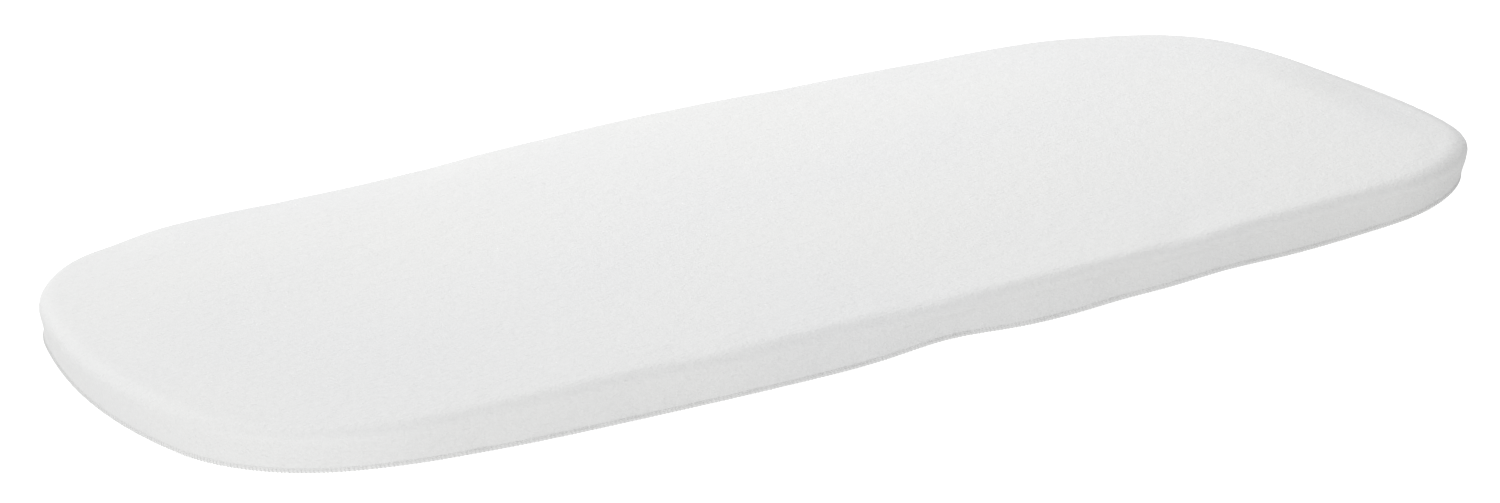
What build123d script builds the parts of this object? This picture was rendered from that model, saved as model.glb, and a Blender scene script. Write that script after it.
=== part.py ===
"""Flat changing pad: a foam slab sealed in a waterproof liner, inside a zipped terry cover.

Millimetres, +Z up. The origin is the centre of the underside, +X runs along the pad's length and
+Y points at the side that carries the zip. Every layer is cut from one outline: two bowed long
sides, two bowed ends and four corner arcs, which stay concentric when the outline is inset.
"""

from build123d import *
from math import atan2, copysign, degrees
import os

# ---- driving dimensions -------------------------------------------------------------------------
# pad
pad_length = 810.0
pad_width = 405.0
pad_height = 25.0
corner_radius = 118.0
side_bow = 24.0  # how far the middle of a long side stands out, over the whole length
end_bow = 46.0  # the same for an end, over the whole width
bottom_edge_radius = 5.0

# cover
cover_wall = 1.5
base_wall = 1.2
cover_ease = 2.4  # slack between the cover's wall and the liner, all round
seam_height = 3.0  # the overlocked seam, above the floor
seam_stand = 0.7  # how far the overlocked edge stands out of the wall
seam_width = 2.2
thread_stand = 0.3
thread_width = 0.6

# waterproof liner
liner_wall = 0.4
lap_low = 5.0  # the two halves overlap between these heights, where they are welded
lap_high = 11.0
liner_edge_drop = 3.4  # liner's top edge radius, less than the cover's by this

# zip
zip_length = 500.0
zip_overhang = 8.0  # tape beyond each end of the opening, under the cover
window_half = 4.0  # half the height of the opening that the zip closes
stitch_margin = 1.0  # topstitching, from the edge of the opening
stitch_width = 0.5
stitch_stand = 0.35
tape_half = 6.2  # from the zip's centre line to the outer edge of a tape
tape_wall = 0.6
tape_depth = 0.9  # from the wall's outer surface to the tape
chain_half = 2.2
chain_thickness = 1.6
centre_gap = 0.35  # from the centre line to the tapes' and the teeth's inner ends
spine_width = 0.6
tooth_pitch = 1.4
tooth_width = 0.85
stop_length = 2.4
stop_wall = 0.5
stop_web = 0.25  # metal between the two sides of a top stop, at its tape's inner edge
stop_corner = 0.4
tack_length = 1.6
tack_stand = 0.4

# slider and pull tab
slider_length = 9.2
slider_half_front = 3.7
slider_half_rear = 3.1
slider_corner = 1.0
front_plate = 0.9
back_plate = 0.8
slider_gap = 0.15  # clearance between slider and zip
channel_gap = 0.25  # clearance on each outer side of the chain
post_thickness = 0.5
post_length = 2.2
post_front = 0.6  # from the slider's mouth to the post
bridge_length = 5.8
bridge_height = 2.6
bridge_thickness = 1.6
bridge_bar = 0.85
bridge_foot = 0.45
eye_bar = 0.9  # diameter
tab_arm = 3.5  # from the hinge axis to the end of the eye
tab_length = 24.0
tab_width = 5.2
tab_eye_width = 4.4
tab_thickness = 1.0
tab_side_gap = 0.35  # between an arm and the bridge
tab_hole = 1.1  # radius

# care label
label_width = 25.0
label_length = 18.0
label_thickness = 0.7
label_tip_height = 0.9
label_bearing = 45.0  # round the corner arc, degrees from +X

# ---- values that follow -------------------------------------------------------------------------
half_length = pad_length / 2
half_width = pad_width / 2
straight_wall = 2 * (window_half + stitch_margin)
top_edge_radius = pad_height - straight_wall - bottom_edge_radius
zip_height = bottom_edge_radius + straight_wall / 2

side_radius = (half_length**2 + side_bow**2) / (2 * side_bow)
end_radius = (half_width**2 + end_bow**2) / (2 * end_bow)
side_centre = Vector(0, half_width - side_radius)
end_centre = Vector(half_length - end_radius, 0)


def meeting_point(centre_a, radius_a, centre_b, radius_b):
    """The crossing of two circles that lies to the right of the line from centre a to centre b."""
    span = centre_b - centre_a
    distance = span.length
    along = (distance**2 + radius_a**2 - radius_b**2) / (2 * distance)
    across = (radius_a**2 - along**2) ** 0.5
    direction = span.normalized()
    return centre_a + direction * along + Vector(direction.Y, -direction.X) * across


corner_centre = meeting_point(
    side_centre, side_radius - corner_radius, end_centre, end_radius - corner_radius
)
side_turn = atan2(corner_centre.X - side_centre.X, corner_centre.Y - side_centre.Y)
side_run = side_radius * side_turn  # from the middle of a long side to its corner arc


def quarter_points(inset):
    """End, middle and end points of the three arcs in the +X +Y quarter."""
    side_way = (corner_centre - side_centre).normalized()
    end_way = (corner_centre - end_centre).normalized()
    side_end = side_centre + side_way * (side_radius - inset)
    end_end = end_centre + end_way * (end_radius - inset)
    corner_way = (side_way + end_way).normalized()
    corner_middle = corner_centre + corner_way * (corner_radius - inset)
    return side_end, corner_middle, end_end


def outline(inset):
    """The pad's outline as a face, moved inwards by inset."""
    side_end, corner_middle, end_end = quarter_points(inset)
    side_middle = (0, half_width - inset)
    end_middle = (half_length - inset, 0)

    def flip(point, x, y):
        return (point[0] * x, point[1] * y)

    edges = []
    for y in (1, -1):
        start = flip((-side_end.X, side_end.Y), 1, y)
        finish = flip((side_end.X, side_end.Y), 1, y)
        edges.append(ThreePointArc(start, flip(side_middle, 1, y), finish))
    for x in (1, -1):
        start = flip((end_end.X, end_end.Y), x, 1)
        finish = flip((end_end.X, end_end.Y), x, -1)
        edges.append(ThreePointArc(start, flip(end_middle, x, 1), finish))
    for x in (1, -1):
        for y in (1, -1):
            points = [flip((p.X, p.Y), x, y) for p in (side_end, corner_middle, end_end)]
            edges.append(ThreePointArc(*points))
    return make_face(edges)


def slab(inset, low, high, low_radius=0.0, high_radius=0.0):
    """A slab of the outline between two heights, with its bottom and top edges rounded."""
    solid = extrude(Pos(0, 0, low) * outline(inset), high - low)
    if high_radius:
        solid = fillet(solid.edges().group_by(Axis.Z)[-1], high_radius)
    if low_radius:
        solid = fillet(solid.edges().group_by(Axis.Z)[0], low_radius)
    return solid


def layer_box(low, high):
    """A block that covers the whole pad between two heights."""
    block = Box(2 * pad_length, 2 * pad_width, high - low)
    return Pos(0, 0, (low + high) / 2) * block


def on_wall(along):
    """The place on the +Y wall at a distance along it from its middle, at the zip's height. Local
    +X runs along the wall and +Y points out of it."""
    if abs(along) <= side_run:
        centre, radius, turn = side_centre, side_radius, along / side_radius
    else:
        centre = Vector(copysign(corner_centre.X, along), corner_centre.Y)
        radius = corner_radius
        turn = copysign(side_turn + (abs(along) - side_run) / corner_radius, along)
    return Pos(centre.X, centre.Y, zip_height) * Rot(0, 0, -degrees(turn)) * Pos(0, radius, 0)


def wall_arcs(depth, stops):
    """Arcs along the +Y wall from each stop to the next, at a depth inside its surface."""

    def at(along):
        place = (on_wall(along) * Pos(0, -depth, 0)).position
        return (place.X, place.Y)

    return [
        ThreePointArc(at(start), at((start + finish) / 2), at(finish))
        for start, finish in zip(stops, stops[1:])
    ]


def wall_band(depth, thickness, low, high, length):
    """A strip that follows the +Y wall. depth is from the wall's surface, inwards."""
    half = length / 2
    stops = [-half, half] if half <= side_run else [-half, -side_run, side_run, half]
    outer = wall_arcs(depth, stops)
    inner = wall_arcs(depth + thickness, stops)
    ends = [Line(outer[0] @ 0, inner[0] @ 0), Line(outer[-1] @ 1, inner[-1] @ 1)]
    return extrude(Pos(0, 0, low) * make_face(outer + inner + ends), high - low)


def plate(face, low, high):
    """A face drawn in the wall's plane, made solid between two heights above the wall."""
    return Rot(90, 0, 0) * extrude(Pos(0, 0, -high) * face, high - low)


# ---- envelopes ----------------------------------------------------------------------------------
envelope = slab(0, 0, pad_height, bottom_edge_radius, top_edge_radius)
cavity = slab(
    cover_wall,
    base_wall,
    pad_height - cover_wall,
    bottom_edge_radius - cover_wall,
    top_edge_radius - cover_wall,
)
liner_inset = cover_wall + cover_ease
liner_top_radius = top_edge_radius - liner_edge_drop
liner_low_radius = bottom_edge_radius - 2.0


# ---- foam and liner -----------------------------------------------------------------------------
def make_foam_core():
    """The foam slab, tight inside the liner."""
    return slab(
        liner_inset + 2 * liner_wall,
        base_wall + liner_wall,
        pad_height - cover_wall - liner_wall,
        liner_low_radius - 2 * liner_wall,
        liner_top_radius - liner_wall,
    )


def make_liner_top():
    """The upper film: over the foam, down its side and behind the lower film's edge."""
    top = pad_height - cover_wall
    outer = slab(liner_inset + liner_wall, base_wall, top, 0, liner_top_radius)
    inner = slab(
        liner_inset + 2 * liner_wall, base_wall, top - liner_wall, 0, liner_top_radius - liner_wall
    )
    return (outer - inner) & layer_box(lap_low, pad_height)


def make_liner_bottom():
    """The lower film: a shallow tray whose edge is welded round the upper film."""
    outer = slab(liner_inset, base_wall, pad_height, liner_low_radius)
    inner = slab(
        liner_inset + liner_wall, base_wall + liner_wall, pad_height, liner_low_radius - liner_wall
    )
    return (outer - inner) & layer_box(0, lap_high)


# ---- zip ----------------------------------------------------------------------------------------
def make_zip_tape(side):
    """One tape, above the centre line for side 1 and below it for side -1."""
    ends = sorted((zip_height + side * centre_gap, zip_height + side * tape_half))
    return wall_band(tape_depth, tape_wall, *ends, zip_length + 2 * zip_overhang)


def make_zip_teeth(side):
    """One row of coil teeth on a spine. The rows are half a pitch apart, and stop short of the
    centre line, where the slider's post runs."""
    usable = zip_length - 2 * (stop_length + slider_gap)
    count = int(usable / tooth_pitch) - 2
    start = -count * tooth_pitch / 2 + (side + 1) * tooth_pitch / 4
    tooth_root = chain_half - spine_width
    points = []
    for index in range(count):
        left = start + index * tooth_pitch
        right = left + tooth_width
        points += [(left, tooth_root), (left, centre_gap), (right, centre_gap), (right, tooth_root)]
    points += [(points[-1][0], chain_half), (points[0][0], chain_half)]
    comb = make_face(Polyline(*[(x, side * z) for x, z in points], close=True))
    reach = (zip_length / 2) ** 2 / (2 * side_radius) + chain_thickness
    depth = half_width - reach - 2 * tape_depth
    prism = Pos(0, 0, zip_height) * plate(comb, depth, half_width + chain_thickness)
    low, high = zip_height - chain_half - 1, zip_height + chain_half + 1
    return prism & wall_band(tape_depth - chain_thickness, chain_thickness, low, high, zip_length)


def stop_block(low, high):
    """A bent metal clamp over the chain, between two distances from the zip's centre line. It
    grips each tape from its inner edge."""
    face = Pos(0, (low + high) / 2) * RectangleRounded(stop_length, high - low, stop_corner)
    block = plate(face, -tape_depth - tape_wall - stop_wall, chain_thickness - tape_depth)
    for side in (1, -1):
        slot = Pos(0, side * (centre_gap + chain_half)) * Rectangle(2 * stop_length, 2 * chain_half)
        block -= plate(slot, -tape_depth - tape_wall, -tape_depth)
    return block


def make_zip_top_stops():
    """Two clamps, one on each tape, just past the closed slider's mouth."""
    place = on_wall(zip_length / 2 - stop_length / 2)
    upper = place * stop_block(centre_gap - stop_web, chain_half)
    lower = place * stop_block(-chain_half, stop_web - centre_gap)
    return Compound(children=[upper, lower])


def make_zip_bottom_stop():
    """One clamp across both tapes, at the end that stays joined."""
    place = on_wall(-zip_length / 2 + stop_length / 2)
    return place * stop_block(-chain_half, chain_half)


def make_zip_stitching(side):
    """The row of topstitching along one edge of the opening."""
    middle = zip_height + side * (window_half + stitch_margin)
    low, high = middle - stitch_width / 2, middle + stitch_width / 2
    length = zip_length + 2 * tack_length
    return wall_band(-stitch_stand, stitch_stand, low, high, length)


def make_zip_bar_tacks():
    """The dense bars of stitches that close the two ends of the opening."""
    half = window_half + stitch_margin - stitch_width
    face = RectangleRounded(tack_length, 2 * half, tack_length / 3)
    bar = plate(face, 0, tack_stand)
    solids = []
    for end in (1, -1):
        solids.append(on_wall(end * (zip_length / 2 + tack_length / 2)) * bar)
    return Compound(children=solids)


# ---- slider and pull tab ------------------------------------------------------------------------
chain_front = chain_thickness - tape_depth  # the teeth's face, above the wall's surface
plate_low = chain_front + slider_gap
plate_high = plate_low + front_plate
back_high = -tape_depth - tape_wall - slider_gap
back_low = back_high - back_plate
hinge_height = plate_high + bridge_foot + (bridge_height - bridge_foot - bridge_bar) / 2
slider_along = zip_length / 2 - stop_length - slider_length / 2 - slider_gap
travel_length = 2 * slider_along


def slider_plan():
    """The slider seen from outside: wide at its mouth, narrower where the chain leaves it."""
    half = slider_length / 2
    shoulder = slider_length / 6
    upper = [
        (-half, slider_half_rear),
        (shoulder, slider_half_front),
        (half, slider_half_front - slider_corner / 3),
    ]
    lower = [(x, -z) for x, z in reversed(upper)]
    face = make_face(Polyline(*upper, *lower, close=True))
    return fillet(face.vertices(), slider_corner)


def make_zip_slider():
    """Front plate with its two side flanges, back plate, and the post between them."""
    plan = slider_plan()
    front = plate(plan, -tape_depth + slider_gap, plate_high)
    channel = Rectangle(2 * slider_length, 2 * (chain_half + channel_gap))
    front -= plate(channel, -tape_depth - tape_wall, plate_low)
    back = plate(plan, back_low, back_high)
    post_middle = slider_length / 2 - post_front - post_length / 2
    post_face = Pos(post_middle, 0) * SlotOverall(post_length, post_thickness)
    post = plate(post_face, back_low, plate_high)
    body = front + back + post
    return on_wall(slider_along) * body


def make_zip_slider_bridge():
    """The arch on the front plate that holds the pull tab."""
    hoop = Rectangle(bridge_length, bridge_height)
    hoop = fillet(hoop.vertices().group_by(Axis.Y)[-1], bridge_height / 3)
    opening = Rectangle(bridge_length - 2 * bridge_bar, bridge_height - bridge_bar - bridge_foot)
    opening = fillet(opening.vertices(), bridge_bar / 2)
    hoop -= Pos(0, (bridge_foot - bridge_bar) / 2) * opening
    arch = extrude(hoop, bridge_thickness / 2, both=True)
    return on_wall(slider_along) * Pos(0, plate_high + bridge_height / 2, 0) * arch


def make_zip_pull_tab():
    """The pull tab, lying back along the closed chain. Its eye bar passes under the bridge."""
    arm_inner = bridge_thickness / 2 + tab_side_gap
    eye_half = tab_eye_width / 2
    outer = [
        (0.0, eye_half),
        (-tab_arm, eye_half),
        (-tab_arm - tab_width, tab_width / 2),
        (-tab_length, tab_width / 2),
    ]
    mirrored = [(x, -z) for x, z in reversed(outer)]
    face = make_face(Polyline(*outer, *mirrored, close=True))
    tip = face.vertices().group_by(Axis.X)[0]
    face = fillet(tip, tab_width / 2.5)
    face -= Pos(-tab_arm / 2, 0) * Rectangle(tab_arm, 2 * arm_inner)
    face -= Pos(-tab_length + tab_width / 2, 0) * Circle(tab_hole)
    tab = plate(face, -tab_thickness / 2, tab_thickness / 2)
    bar = Cylinder(eye_bar / 2, tab_eye_width)
    round_ends = Cylinder(tab_thickness / 2, tab_eye_width) - Cylinder(tab_thickness, 2 * arm_inner)
    tab = tab + bar + round_ends
    return on_wall(slider_along) * Pos(0, hinge_height, 0) * tab


# ---- cover --------------------------------------------------------------------------------------
def make_cover_top(tapes):
    """The terry panel: over the top and down the sides to the seam, open where the zip is."""
    shell = (envelope - cavity) & layer_box(seam_height, pad_height + 1)
    opening = wall_band(
        -1, cover_wall + 2, zip_height - window_half, zip_height + window_half, zip_length
    )
    shell -= opening
    for tape in tapes:
        shell -= tape
    return shell


def make_cover_bottom():
    """The base panel: flat on the floor, turned up to the seam."""
    return (envelope - cavity) & layer_box(-1, seam_height)


def seam_ring(stand, width):
    """The slab that a bead of this width, standing this far out of the wall, is cut from."""
    low, high = seam_height - width / 2, seam_height + width / 2
    radius = 0.48 * width if width < 2 * stand else 0.9 * stand
    return slab(-stand, low, high, radius, radius)


def make_overlocked_edge():
    """The two panels' edges, trimmed and overlocked together, standing out of the wall."""
    return seam_ring(seam_stand, seam_width) - envelope


def make_overlock_thread():
    """The thread that runs along the crest of the overlocked edge."""
    ring = seam_ring(seam_stand + thread_stand, thread_width)
    return ring - seam_ring(seam_stand, seam_width)


def make_care_label():
    """A blank folded label, caught in the seam at a rear corner."""
    thick = label_thickness
    rise = seam_height - label_tip_height
    start = -2 * thick
    side = Polyline(
        (start, seam_height + thick / 2),
        (2 * thick, seam_height + thick / 2),
        (label_length, seam_height - rise + thick / 2),
        (label_length, seam_height - rise - thick / 2),
        (2 * thick, seam_height - thick / 2),
        (start, seam_height - thick / 2),
        close=True,
    )
    profile = make_face(side)
    strip = Rot(90, 0, 0) * extrude(profile, label_width / 2, both=True)
    root = corner_radius + seam_stand + thread_stand
    place = Pos(corner_centre.X, corner_centre.Y, 0) * Rot(0, 0, label_bearing) * Pos(root, 0, 0)
    reach = seam_stand + thread_stand
    return place * strip - slab(-reach, 0, pad_height)


# ---- write the parts ----------------------------------------------------------------------------
tape_upper = make_zip_tape(1)
tape_lower = make_zip_tape(-1)

parts = {
    "foam_core": make_foam_core(),
    "liner_top": make_liner_top(),
    "liner_bottom": make_liner_bottom(),
    "cover_top": make_cover_top((tape_upper, tape_lower)),
    "cover_bottom": make_cover_bottom(),
    "overlocked_edge": make_overlocked_edge(),
    "overlock_thread": make_overlock_thread(),
    "zip_tape_upper": tape_upper,
    "zip_tape_lower": tape_lower,
    "zip_teeth_upper": make_zip_teeth(1),
    "zip_teeth_lower": make_zip_teeth(-1),
    "zip_top_stops": make_zip_top_stops(),
    "zip_bottom_stop": make_zip_bottom_stop(),
    "zip_stitching_upper": make_zip_stitching(1),
    "zip_stitching_lower": make_zip_stitching(-1),
    "zip_bar_tacks": make_zip_bar_tacks(),
    "zip_slider": make_zip_slider(),
    "zip_slider_bridge": make_zip_slider_bridge(),
    "zip_pull_tab": make_zip_pull_tab(),
    "care_label": make_care_label(),
}

os.makedirs("parts", exist_ok=True)
for name, shape in parts.items():
    shape.label = name
    export_step(shape, f"parts/{name}.step")

# The places that the record's joints and mount repeat.
hinge_point = (on_wall(slider_along) * Pos(0, hinge_height, 0)).position
print("side arc ends", round(side_run, 1), "from the middle")
print("zip travel axis at y", round(side_centre.Y, 4))
print("zip travel degrees", round(degrees(travel_length / side_radius), 4))
print("pull tab hinge at", [round(v, 4) for v in hinge_point])
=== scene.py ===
"""The looks of a flat changing pad: terry cover, base panel, overlocked seam, zip and care label.

Metres, +Z up. +X runs along the pad, and +Y points at the side that carries the zip.
"""

import bpy
import numpy as np
from math import atan2, ceil, cos, hypot, pi, radians, sin, sqrt
from mathutils import Matrix, Vector


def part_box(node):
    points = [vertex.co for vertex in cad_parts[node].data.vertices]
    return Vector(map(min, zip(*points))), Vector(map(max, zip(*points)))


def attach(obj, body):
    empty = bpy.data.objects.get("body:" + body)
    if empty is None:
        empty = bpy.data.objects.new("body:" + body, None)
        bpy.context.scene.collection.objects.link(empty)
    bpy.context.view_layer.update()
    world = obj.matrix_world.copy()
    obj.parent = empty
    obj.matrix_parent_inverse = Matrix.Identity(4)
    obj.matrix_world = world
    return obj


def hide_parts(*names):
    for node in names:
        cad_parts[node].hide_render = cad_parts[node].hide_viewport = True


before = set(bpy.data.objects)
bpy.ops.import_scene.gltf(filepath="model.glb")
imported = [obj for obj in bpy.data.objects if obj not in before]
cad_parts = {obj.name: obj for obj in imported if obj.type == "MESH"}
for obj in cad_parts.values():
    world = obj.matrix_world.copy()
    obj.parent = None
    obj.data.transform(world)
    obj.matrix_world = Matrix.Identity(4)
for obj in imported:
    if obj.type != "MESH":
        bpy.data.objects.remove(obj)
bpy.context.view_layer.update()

# ---- sizes --------------------------------------------------------------------------------------
COVER_LOW, COVER_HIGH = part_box("cover_top")
HALF_LENGTH = COVER_HIGH.x
HALF_WIDTH = COVER_HIGH.y
TOP = COVER_HIGH.z
SEAM = COVER_LOW.z  # height of the overlocked seam
CORNER_RADIUS = 0.118
SIDE_BOW = 0.024
END_BOW = 0.046
TOP_EDGE_RADIUS = 0.010
BOTTOM_EDGE_RADIUS = 0.005
FABRIC = 0.0012  # thickness of the terry and of the base panel
PILE = 0.00009  # height of the terry's nap

STITCH_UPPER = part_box("zip_stitching_upper")
STITCH_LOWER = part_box("zip_stitching_lower")
TACK_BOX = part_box("zip_bar_tacks")
STITCH_MARGIN = 0.001
WINDOW_LOW = (STITCH_LOWER[0].z + STITCH_LOWER[1].z) / 2 + STITCH_MARGIN
WINDOW_HIGH = (STITCH_UPPER[0].z + STITCH_UPPER[1].z) / 2 - STITCH_MARGIN
WINDOW_HALF = 0.250  # half the opening's length, along the wall

CELL = 0.008  # coarse mesh, before subdivision
GRID_INSET = 0.016  # the top's grid of quads ends here, and the rim's rows begin
WINDOW_ROWS = ("wall6", "wall7")  # the wall's rows of faces that the zip's opening takes away
SWELL_SHARE = 0.35  # the foam inside holds the cover back, so only a part of its swelling is kept
SWELL_LIMIT = 0.0009
SWELL_FRAMES = 20
ZIP_MARGIN = 0.012  # the cover holds still this far past each end of the opening


# ---- the outline, by distance along it ----------------------------------------------------------
SIDE_RADIUS = (HALF_LENGTH**2 + SIDE_BOW**2) / (2 * SIDE_BOW)
END_RADIUS = (HALF_WIDTH**2 + END_BOW**2) / (2 * END_BOW)
SIDE_CENTRE = np.array([0.0, HALF_WIDTH - SIDE_RADIUS])
END_CENTRE = np.array([HALF_LENGTH - END_RADIUS, 0.0])


def corner_centre():
    """The centre of the +X +Y corner arc, which touches the side's arc and the end's."""
    span = END_CENTRE - SIDE_CENTRE
    distance = hypot(*span)
    reach_a, reach_b = SIDE_RADIUS - CORNER_RADIUS, END_RADIUS - CORNER_RADIUS
    along = (distance**2 + reach_a**2 - reach_b**2) / (2 * distance)
    across = sqrt(reach_a**2 - along**2)
    way = span / distance
    return SIDE_CENTRE + way * along + np.array([way[1], -way[0]]) * across


CORNER_CENTRE = corner_centre()
# The outward normal turns from +Y at the middle of a side to +X at the middle of an end.
SIDE_TURN = atan2(*(CORNER_CENTRE - SIDE_CENTRE))
END_TURN = atan2(*(CORNER_CENTRE - END_CENTRE))
SIDE_RUN = SIDE_RADIUS * SIDE_TURN
CORNER_RUN = CORNER_RADIUS * (END_TURN - SIDE_TURN)
END_RUN = END_RADIUS * (pi / 2 - END_TURN)
QUARTER = SIDE_RUN + CORNER_RUN + END_RUN
CORNER_MIDDLE = SIDE_RUN + CORNER_RUN / 2
PERIMETER = 4 * QUARTER
FRONT, BACK = 0.0, 2 * QUARTER  # distances along the outline of the two sides' middles


def rim_frame(s):
    """For distances along the outline, counter-clockwise from the middle of the -Y side: the arc's
    centre, its radius and the outward normal, each as arrays."""
    s = np.mod(np.asarray(s, float), PERIMETER)
    quadrant = np.floor(s / QUARTER).astype(int) % 4
    local = s - quadrant * QUARTER
    local = np.where(quadrant % 2 == 1, QUARTER - local, local)
    on_side = local <= SIDE_RUN
    on_end = local > SIDE_RUN + CORNER_RUN
    turn = np.where(
        on_side,
        local / SIDE_RADIUS,
        np.where(
            on_end,
            END_TURN + (local - SIDE_RUN - CORNER_RUN) / END_RADIUS,
            SIDE_TURN + (local - SIDE_RUN) / CORNER_RADIUS,
        ),
    )
    centre = np.where(
        on_side[:, None], SIDE_CENTRE, np.where(on_end[:, None], END_CENTRE, CORNER_CENTRE)
    )
    radius = np.where(on_side, SIDE_RADIUS, np.where(on_end, END_RADIUS, CORNER_RADIUS))
    normal = np.stack([np.sin(turn), np.cos(turn)], 1)
    flip = np.stack(
        [np.where((quadrant == 0) | (quadrant == 1), 1, -1), np.where(quadrant % 3 == 0, -1, 1)], 1
    )
    return centre * flip, radius, normal * flip


def rim_points(s, inset):
    """Points on the outline moved inwards by inset."""
    centre, radius, normal = rim_frame(s)
    return centre + normal * (radius - inset)[:, None]


def rim_coordinates(points):
    """The reverse: distance along the outline and inset, for points in the XY plane."""
    x, y = np.abs(points[:, 0]), np.abs(points[:, 1])
    side = np.arctan2(x - SIDE_CENTRE[0], y - SIDE_CENTRE[1])
    end = np.arctan2(x - END_CENTRE[0], y - END_CENTRE[1])
    corner = np.arctan2(x - CORNER_CENTRE[0], y - CORNER_CENTRE[1])
    on_side = side <= SIDE_TURN
    on_end = ~on_side & (end >= END_TURN)
    local = np.where(
        on_side,
        side * SIDE_RADIUS,
        np.where(
            on_end,
            SIDE_RUN + CORNER_RUN + (end - END_TURN) * END_RADIUS,
            SIDE_RUN + (np.clip(corner, SIDE_TURN, END_TURN) - SIDE_TURN) * CORNER_RADIUS,
        ),
    )
    inset = np.where(
        on_side,
        SIDE_RADIUS - np.hypot(x - SIDE_CENTRE[0], y - SIDE_CENTRE[1]),
        np.where(
            on_end,
            END_RADIUS - np.hypot(x - END_CENTRE[0], y - END_CENTRE[1]),
            CORNER_RADIUS - np.hypot(x - CORNER_CENTRE[0], y - CORNER_CENTRE[1]),
        ),
    )
    east, south = points[:, 0] >= 0, points[:, 1] < 0
    s = np.where(
        east & south,
        local,
        np.where(
            east, 2 * QUARTER - local, np.where(south, PERIMETER - local, 2 * QUARTER + local)
        ),
    )
    return s, inset


def wall_profile(height):
    """How far the wall lies inside the outline at a height, for an array of heights."""
    height = np.asarray(height, float)
    low = np.clip(BOTTOM_EDGE_RADIUS - height, 0, BOTTOM_EDGE_RADIUS)
    high = np.clip(height - (TOP - TOP_EDGE_RADIUS), 0, TOP_EDGE_RADIUS)
    return (
        BOTTOM_EDGE_RADIUS
        - np.sqrt(BOTTOM_EDGE_RADIUS**2 - low**2)
        + TOP_EDGE_RADIUS
        - np.sqrt(TOP_EDGE_RADIUS**2 - high**2)
    )


# ---- small tools --------------------------------------------------------------------------------
def smooth(t):
    """0 below 0, 1 above 1, smooth between."""
    t = np.clip(t, 0, 1)
    return t * t * (3 - 2 * t)


def bump(x, centre, width):
    """A bell of height 1."""
    return np.exp(-(((x - centre) / width) ** 2))


def wrapped(s, centre):
    """Signed distance along the outline from centre, the short way round."""
    return np.mod(s - centre + PERIMETER / 2, PERIMETER) - PERIMETER / 2


def waves(points, seed, count, longest, shortest, stretch=(1.0, 1.0, 1.0)):
    """A smooth random field of about unit size: plane waves in random directions."""
    rng = np.random.default_rng(seed)
    total = np.zeros(len(points))
    scaled = points / np.asarray(stretch)
    for _ in range(count):
        way = rng.normal(size=3)
        way /= np.linalg.norm(way)
        length = np.exp(rng.uniform(np.log(shortest), np.log(longest)))
        total += np.sin(scaled @ way * 2 * pi / length + rng.uniform(0, 2 * pi))
    return total * sqrt(2 / count)


def read_points(mesh):
    points = np.zeros(len(mesh.vertices) * 3, np.float32)
    mesh.vertices.foreach_get("co", points)
    return points.reshape(-1, 3).astype(float)


def write_points(mesh, points):
    mesh.vertices.foreach_set("co", points.astype(np.float32).ravel())
    mesh.update()


def new_piece(name, points, faces, smooth_shaded=True):
    """A mesh object in the pad's frame."""
    mesh = bpy.data.meshes.new(name)
    mesh.from_pydata([tuple(p) for p in points], [], faces)
    mesh.validate()
    if smooth_shaded:
        mesh.polygons.foreach_set("use_smooth", [True] * len(mesh.polygons))
    piece = bpy.data.objects.new(name, mesh)
    bpy.context.scene.collection.objects.link(piece)
    return piece


def bake_modifiers(piece):
    """Replaces a piece's mesh by what its modifiers make of it."""
    depsgraph = bpy.context.evaluated_depsgraph_get()
    mesh = bpy.data.meshes.new_from_object(piece.evaluated_get(depsgraph))
    old = piece.data
    piece.modifiers.clear()
    piece.data = mesh
    mesh.name = piece.name
    bpy.data.meshes.remove(old)


def settle(piece, body, slot, material, *nodes):
    """Gives a piece its body and material, and hides the CAD nodes it stands for. slot is not
    used.
    """
    piece.data.materials.clear()
    piece.data.materials.append(material)
    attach(piece, body)
    if nodes:
        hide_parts(*nodes)


# ---- the coarse pad: a closed sheet round the foam ----------------------------------------------
def column_places():
    """Distances along the outline of the columns, and how many cells a side and an end have.
    Columns fall on the two ends of the zip's opening, and on the same places in front."""
    inner = ceil(WINDOW_HALF / CELL)
    outer = ceil((CORNER_MIDDLE - WINDOW_HALF) / CELL)
    half = np.concatenate(
        [
            np.linspace(0, WINDOW_HALF, inner + 1),
            np.linspace(WINDOW_HALF, CORNER_MIDDLE, outer + 1)[1:],
        ]
    )
    side = np.concatenate([-half[::-1], half[1:]])
    end_cells = 2 * ceil((QUARTER - CORNER_MIDDLE) / CELL)
    end = np.linspace(CORNER_MIDDLE, 2 * QUARTER - CORNER_MIDDLE, end_cells + 1)
    places = np.concatenate([side[:-1], end[:-1], side[:-1] + 2 * QUARTER, end[:-1] + 2 * QUARTER])
    return places, len(side) - 1, end_cells


def filled_grid(ring, side_cells, end_cells):
    """A grid of points whose border is the ring (a Coons patch)."""
    front = ring[: side_cells + 1]
    right = ring[side_cells : side_cells + end_cells + 1]
    back = ring[side_cells + end_cells : 2 * side_cells + end_cells + 1][::-1]
    left = np.vstack([ring[2 * side_cells + end_cells :], ring[:1]])[::-1]
    u = np.linspace(0, 1, side_cells + 1)[:, None, None]
    v = np.linspace(0, 1, end_cells + 1)[None, :, None]
    ruled_v = front[:, None] * (1 - v) + back[:, None] * v
    ruled_u = left[None] * (1 - u) + right[None] * u
    corners = front[0] * (1 - u) * (1 - v) + front[-1] * u * (1 - v)
    corners = corners + back[0] * (1 - u) * v + back[-1] * u * v
    return ruled_u + ruled_v - corners


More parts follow.
